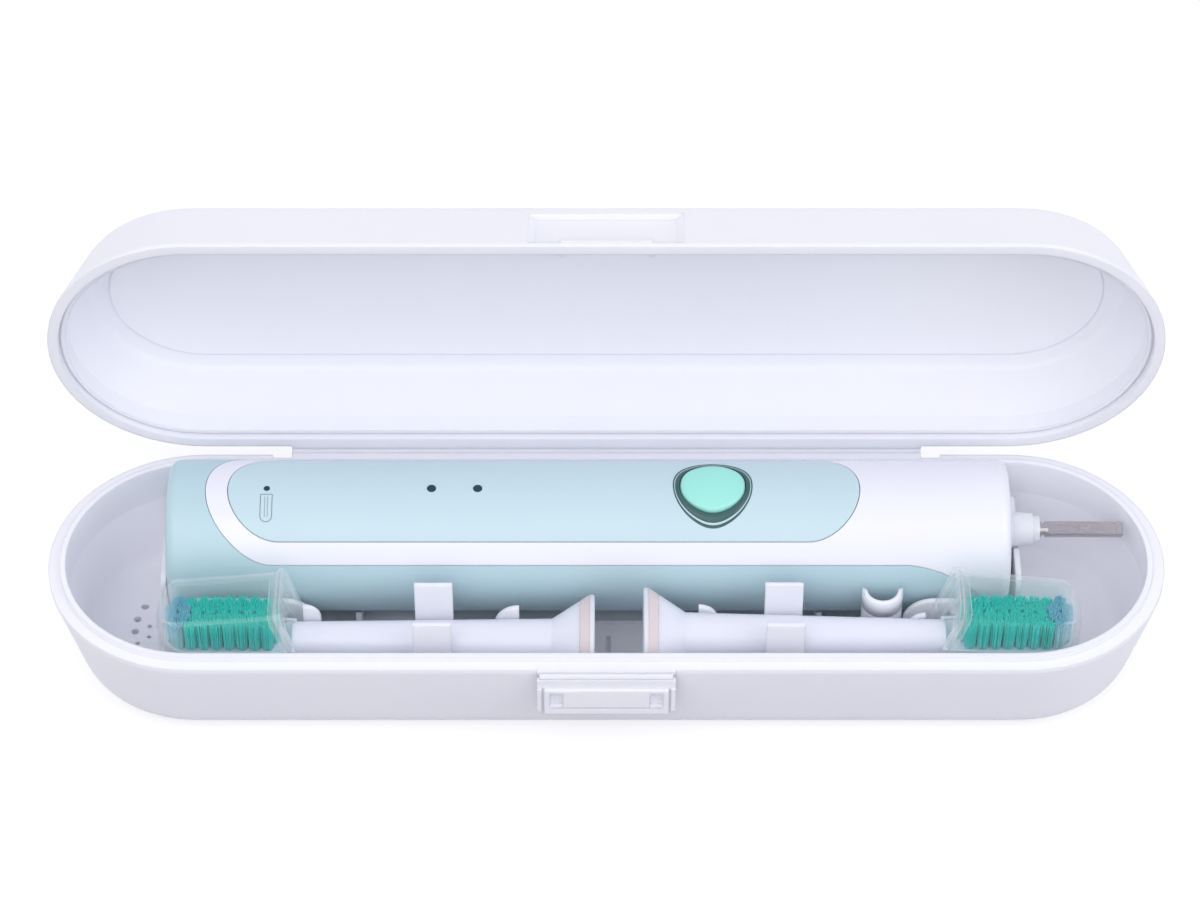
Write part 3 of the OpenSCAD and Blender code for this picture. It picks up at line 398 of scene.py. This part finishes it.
# The neck collar is a moulded, frosted elastomer seal, stretched round the shaft where it leaves
# the handle. It is nearly clear, so that it looks like pale milk glass.
collar_rubber = moulded_plastic("frosted_clear_elastomer", "#EEF0F6", "#E4E7F0", 0.4, 5, 0.4, 0.004, waxy=0.5)
dress(collar_rubber, "neck_collar")


# The drive shaft is turned and ground stainless steel. Behind a narrow groove it has a ground flat
# with two shallow pockets, which the brush's insert grips. The grinding draws its gloss out into
# streaks along it, coarser here than real ones so that they show.
ground_steel, tree, shader = new_finish("ground_stainless_steel")
streak_l, streak_w = 6, 0.3
place = add_node(tree, "ShaderNodeTexCoord").outputs["Object"]
along = add_node(tree, "ShaderNodeMapping",
                 {"Vector": place, "Scale": (1 / (streak_l * mm), 1 / (streak_w * mm), 1 / (streak_w * mm))})
marks = add_node(tree, "ShaderNodeTexNoise", {"Vector": along.outputs["Vector"], "Scale": 1.0, "Detail": 2.0})
rough = add_node(tree, "ShaderNodeMapRange", {"Value": marks.outputs["Fac"], "To Min": 0.2, "To Max": 0.36})
tree.links.new(rough.outputs["Result"], shader.inputs["Roughness"])
lines = add_node(tree, "ShaderNodeBump", {"Strength": 0.3, "Distance": 0.006 * mm,
                                          "Height": marks.outputs["Fac"]})
tree.links.new(lines.outputs["Normal"], shader.inputs["Normal"])
shader.inputs["Base Color"].default_value = linear("#CFC8C9")
shader.inputs["Metallic"].default_value = 1.0

shaft_r, shaft_off, round_top = 1.72, 2.0, 1.5
shaft_x0, groove_x0, groove_x1, flat_x0, shaft_x1 = 76.0, 90.5, 91.3, 91.9, 107.6
groove_top, groove_grow = 1.15, -0.4
shaft_flat, flat_rim, pocket_depth = 0.6, 0.3, 0.32
pockets = ((92.5, 98.5), (99.1, 106.3))
end_l, end_drop = 0.4, 0.3
shaft_steps = 40
# Place along the shaft, height of its flat side, depth of a pocket in that, and growth of its radius.
stations = [(shaft_x0, round_top, 0, 0), (groove_x0, round_top, 0, 0),
            (groove_x0, groove_top, 0, groove_grow), (groove_x1, groove_top, 0, groove_grow),
            (groove_x1, round_top, 0, 0), (flat_x0, round_top, 0, 0), (flat_x0, shaft_flat, 0, 0)]
for pocket_x0, pocket_x1 in pockets:
    stations += [(pocket_x0, shaft_flat, 0, 0), (pocket_x0, shaft_flat, pocket_depth, 0),
                 (pocket_x1, shaft_flat, pocket_depth, 0), (pocket_x1, shaft_flat, 0, 0)]
stations += [(shaft_x1 - end_l, shaft_flat, 0, 0), (shaft_x1, shaft_flat - end_drop, 0, -end_drop)]
mesh = bmesh.new()
rings = []
for x, flat, depth, grow in stations:
    r = shaft_r + grow
    half = math.sqrt(r ** 2 - flat ** 2)
    start = math.atan2(flat, half)
    ring = [(r * math.cos(start - t), r * math.sin(start - t))
            for t in [(math.pi + 2 * start) * k / shaft_steps for k in range(shaft_steps + 1)]]
    pocket_half = max(half - flat_rim, half / 2)
    ring += [(-pocket_half, flat), (-pocket_half, flat - depth),
             (pocket_half, flat - depth), (pocket_half, flat)]
    rings.append([mesh.verts.new(Vector((x, y, shaft_off + z)) * mm) for y, z in ring])
join_rings(mesh, rings)
for ring in (rings[0], rings[-1]):
    mesh.faces.new(ring)
bmesh.ops.recalc_face_normals(mesh, faces=mesh.faces)
shaft = add_piece("ground_drive_shaft", mesh, ground_steel, "shaft", handle_frame, smooth=False)
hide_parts("drive_shaft")


# Inside the sealed handle a tray, moulded in grey glass filled nylon, holds the battery cell, the
# circuit board, the motor and the charging coil. They show only when the handle is taken apart, so
# the cell and the board share the tray's finish, and the motor and the coil share the shaft's.
tray_nylon = moulded_plastic("grey_glass_filled_nylon", "#B8BCC4", "#ABB0B9", 0.5, 12, 0.5, 0.01)
dress(tray_nylon, "tray", "circuit_board", "battery_cell")
dress(ground_steel, "drive_motor", "charge_coil")


# A brush head is white polypropylene, with skirt, neck and head in one moulding, glossy enough for
# soft highlights along its neck. A matt beige elastomer band is let into its skirt, and a steel
# insert inside it grips the drive shaft.
brush_plastic = moulded_plastic("white_gloss_polypropylene", "#E9EAF5", "#E3E5F1", 0.3, 20, 1.0, 0.002,
                                waxy=0.3)
band_plastic = moulded_plastic("beige_pink_band", "#E4D8DA", "#D9CBCE", 0.4, 5, 0.6, 0.004)
for side in "ab":
    dress(brush_plastic, f"brush_{side}_body")
    dress(band_plastic, f"brush_{side}_band")
    dress(ground_steel, f"brush_{side}_insert")


# The bristles are nylon filaments, stapled into the head in tufts: teal, and blue at the tip of
# the head. Each filament is trimmed and rounded at its end, and each tuft spreads a little.
# A brush frame runs from the skirt's open end along +X to the tip, with the bristles to +Z.
brush_l, brush_y = 88, -16.65
brush_a_x, brush_a_z, brush_a_drop = -2.5, 16.7, 1.3
brush_b_x, brush_b_z, brush_b_drop = 7.5, 18.8, 0.8
brush_frames = {
    "a": Matrix.Translation(Vector((brush_a_x, brush_y, brush_a_z)) * mm) @ Matrix.Rotation(math.pi, 4, "Z")
    @ Matrix.Rotation(-math.asin(brush_a_drop / brush_l), 4, "Y"),
    "b": Matrix.Translation(Vector((brush_b_x, brush_y, brush_b_z)) * mm)
    @ Matrix.Rotation(math.asin(brush_b_drop / brush_l), 4, "Y"),
}
face_z, root_depth = 1.6 * mm, 0.3 * mm   # the head's face in a brush frame, and how deep a root sits
tuft_start, tuft_pitch, row_pitch = 65.2 * mm, 2.6 * mm, 2.05 * mm
tuft_r, filament_r = 1.1 * mm, 0.12 * mm
filaments_per_tuft, filament_sides = 64, 5
filament_profile = ((0.0, 1.0), (0.5, 1.0), (0.93, 0.95), (1.0, 0.55))   # share of height, and of radius
golden_turn = math.pi * (3 - math.sqrt(5))
turn_drift, splay, splay_drift = 0.2, 0.22, 0.06
length_drift, lean_drift = 0.08, 0.04
teal_edge_h, teal_crown_h, teal_middle, teal_half_l, blue_h = 6.6, 0.5, 73, 9, 7.0
TEAL_SEED, BLUE_SEED = 11, 12


def tuft_places(first, inner_last, outer_last):
    """Middles of the tufts: two inner rows, and two outer rows set half a pitch on."""
    for row in (-1, 1):
        for i in range(first, inner_last + 1):
            yield tuft_start + i * tuft_pitch, row * row_pitch / 2
        for i in range(first, outer_last + 1):
            yield tuft_start + (i + 0.5) * tuft_pitch, row * row_pitch * 1.5


def teal_height(x):
    """The trim of the teal tufts, which is highest at their middle."""
    return (teal_edge_h + teal_crown_h * math.cos((x / mm - teal_middle) / teal_half_l * math.pi / 2)) * mm


def blue_height(x):
    """The trim of the blue tufts, which is level."""
    return blue_h * mm


def add_filament(mesh, x, y, height, lean_x, lean_y):
    """One filament: straight and a little splayed, with a rounded end."""
    rings = []
    for share, width in filament_profile:
        middle = Vector((x + lean_x * share, y + lean_y * share,
                         face_z - root_depth + share * (height + root_depth)))
        turns = [k * math.tau / filament_sides for k in range(filament_sides)]
        rings.append([mesh.verts.new(middle + Vector((math.cos(t), math.sin(t), 0)) * filament_r * width)
                      for t in turns])
    join_rings(mesh, rings)
    mesh.faces.new(rings[-1])


def tuft_mesh(places, height_at, seed):
    """All the tufts of one colour, in a brush frame."""
    draw = random.Random(seed)
    mesh = bmesh.new()
    for tuft_x, tuft_y in places:
        for k in range(filaments_per_tuft):
            out = tuft_r * math.sqrt((k + 0.5) / filaments_per_tuft)
            turn = k * golden_turn + draw.uniform(-turn_drift, turn_drift)
            dx, dy = out * math.cos(turn), out * math.sin(turn)
            spread = splay + draw.uniform(-splay_drift, splay_drift)
            height = height_at(tuft_x) + draw.uniform(-length_drift, length_drift) * mm
            lean_x = dx * spread + draw.uniform(-lean_drift, lean_drift) * mm
            lean_y = dy * spread + draw.uniform(-lean_drift, lean_drift) * mm
            add_filament(mesh, tuft_x + dx, tuft_y + dy, height, lean_x, lean_y)
    return mesh


def filament_nylon(name, end, stem, root):
    """Translucent nylon: deep colour at the ends, which look into the tuft, and paler below, with
    faint pale streaks across the tufts that are painted glints, standing for light coming through."""
    finish, tree, shader = new_finish(name)
    streak_w, coloured_h = 0.7 * mm, 6.8 * mm
    place = add_node(tree, "ShaderNodeTexCoord").outputs["Object"]
    height = add_node(tree, "ShaderNodeSeparateXYZ", {"Vector": place})
    across = add_node(tree, "ShaderNodeMapping",
                      {"Vector": place, "Scale": (1 / streak_w, 1 / streak_w, 1.0)})
    glint_noise = add_node(tree, "ShaderNodeTexNoise",
                      {"Vector": across.outputs["Vector"], "Scale": 1.0, "Detail": 2.0})
    share = add_node(tree, "ShaderNodeMapRange", {"Value": height.outputs["Z"], "From Min": face_z,
                                                  "From Max": face_z + coloured_h})
    ramp = add_node(tree, "ShaderNodeValToRGB", {"Fac": share.outputs["Result"]})
    ramp.color_ramp.elements[0].position, ramp.color_ramp.elements[0].color = 0.0, linear(root)
    ramp.color_ramp.elements[1].position, ramp.color_ramp.elements[1].color = 0.97, linear(end)
    ramp.color_ramp.elements.new(0.55).color = linear(stem)
    # Painted highlight: noise mixes pale streaks into the colour, as glints of light through the tufts.
    painted_glint = add_node(tree, "ShaderNodeMapRange", {"Value": glint_noise.outputs["Fac"], "From Min": 0.52,
                                                 "From Max": 0.75, "To Min": 0.0, "To Max": 0.14})
    tone = add_node(tree, "ShaderNodeMix", {"Factor": painted_glint.outputs["Result"], "A": ramp.outputs["Color"],
                                            "B": linear("#BDF3EF")}, data_type="RGBA")
    tree.links.new(tone.outputs["Result"], shader.inputs["Base Color"])
    shader.inputs["Roughness"].default_value = 0.4
    shader.inputs["Specular IOR Level"].default_value = 0.2
    return finish


teal_nylon = filament_nylon("teal_nylon_filament", "#00DCD0", "#12E6DA", "#7CF6EE")
blue_nylon = filament_nylon("blue_nylon_filament", "#74C6DC", "#A2E6F0", "#C4F6F8")
for side, matrix in brush_frames.items():
    mesh = tuft_mesh(tuft_places(first=0, inner_last=6, outer_last=6), teal_height, TEAL_SEED)
    teal = add_piece(f"brush_{side}_teal_tufts", mesh, teal_nylon, f"brush_{side}", matrix)
    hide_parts(f"brush_{side}_bristles")
    mesh = tuft_mesh(tuft_places(first=7, inner_last=8, outer_last=7), blue_height, BLUE_SEED)
    blue = add_piece(f"brush_{side}_blue_tufts", mesh, blue_nylon, f"brush_{side}", matrix)
    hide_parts(f"brush_{side}_tip_bristles")


# The caps are moulded in clear PETG, and each slips over a brush head. A wall is nearly clear where
# it faces the eye, milkier at a slant, at its edges and at the back, and glossier at a slant. Lamp
# light goes straight through, so that what lies inside is lit.
back_wall_y, wall_blend = -11.5 * mm, 1.0 * mm
slant_milk, back_milk, edge_milk = 0.4, 0.2, 0.8
slant_from = 0.3
edge_from, edge_full = 0.975, 0.85     # how far the rounded edge agrees with the flat wall beside it
edge_r = 0.45 * mm
gloss_ahead, gloss_slant = 0.03, 0.8
clear_cap, tree, shader = new_finish("clear_petg")
shader.inputs["Base Color"].default_value = linear("#F3F8FB")
shader.inputs["Roughness"].default_value = 0.10
shader.inputs["IOR"].default_value = 1.57
rounded = add_node(tree, "ShaderNodeBevel", {"Radius": edge_r}, samples=4)
tree.links.new(rounded.outputs[0], shader.inputs["Normal"])
through = add_node(tree, "ShaderNodeBsdfTransparent", {"Color": linear("#FCFEFE")})
slant = add_node(tree, "ShaderNodeLayerWeight", {"Blend": 0.5})
milk = add_node(tree, "ShaderNodeMapRange", {"Value": slant.outputs["Facing"], "From Min": slant_from,
                                             "From Max": 1.0, "To Min": 0.0, "To Max": slant_milk})
face_way = add_node(tree, "ShaderNodeNewGeometry")
along_face = add_node(tree, "ShaderNodeVectorMath", {0: rounded.outputs[0], 1: face_way.outputs["Normal"]},
                      operation="DOT_PRODUCT")
edge = add_node(tree, "ShaderNodeMapRange",
                {"Value": along_face.outputs["Value"], "From Min": edge_from,
                 "From Max": edge_full, "To Min": 0.0, "To Max": edge_milk})
place = add_node(tree, "ShaderNodeTexCoord").outputs["Object"]
depth = add_node(tree, "ShaderNodeSeparateXYZ", {"Vector": place})
back_wall = add_node(tree, "ShaderNodeMapRange",
                     {"Value": depth.outputs["Y"], "From Min": back_wall_y - wall_blend,
                      "From Max": back_wall_y, "To Min": 0.0, "To Max": back_milk})
cloud = add_node(tree, "ShaderNodeMath", {0: milk.outputs["Result"], 1: back_wall.outputs["Result"]},
                 operation="MAXIMUM")
cloud = add_node(tree, "ShaderNodeMath", {0: cloud.outputs[0], 1: edge.outputs["Result"]},
                 operation="MAXIMUM")
rays = add_node(tree, "ShaderNodeLightPath")
cloud = add_node(tree, "ShaderNodeMath", {0: cloud.outputs[0], 1: rays.outputs["Is Shadow Ray"]},
                 operation="SUBTRACT", use_clamp=True)
wall = add_node(tree, "ShaderNodeMixShader",
                {0: cloud.outputs[0], 1: through.outputs[0], 2: shader.outputs[0]})
gloss = add_node(tree, "ShaderNodeBsdfGlossy", {"Color": linear("#FFFFFF"), "Roughness": 0.1})
grazing = add_node(tree, "ShaderNodeMath", {0: slant.outputs["Facing"], 1: 5.0}, operation="POWER")
mirror = add_node(tree, "ShaderNodeMath", {0: grazing.outputs[0], 1: gloss_slant, 2: gloss_ahead},
                  operation="MULTIPLY_ADD")
mirror = add_node(tree, "ShaderNodeMath", {0: mirror.outputs[0], 1: rays.outputs["Is Shadow Ray"]},
                  operation="SUBTRACT", use_clamp=True)
skin = add_node(tree, "ShaderNodeMixShader", {0: mirror.outputs[0], 1: wall.outputs[0], 2: gloss.outputs[0]})
tree.links.new(skin.outputs[0], tree.nodes["Material Output"].inputs["Surface"])
dress(clear_cap, "brush_a_cap", "brush_b_cap")
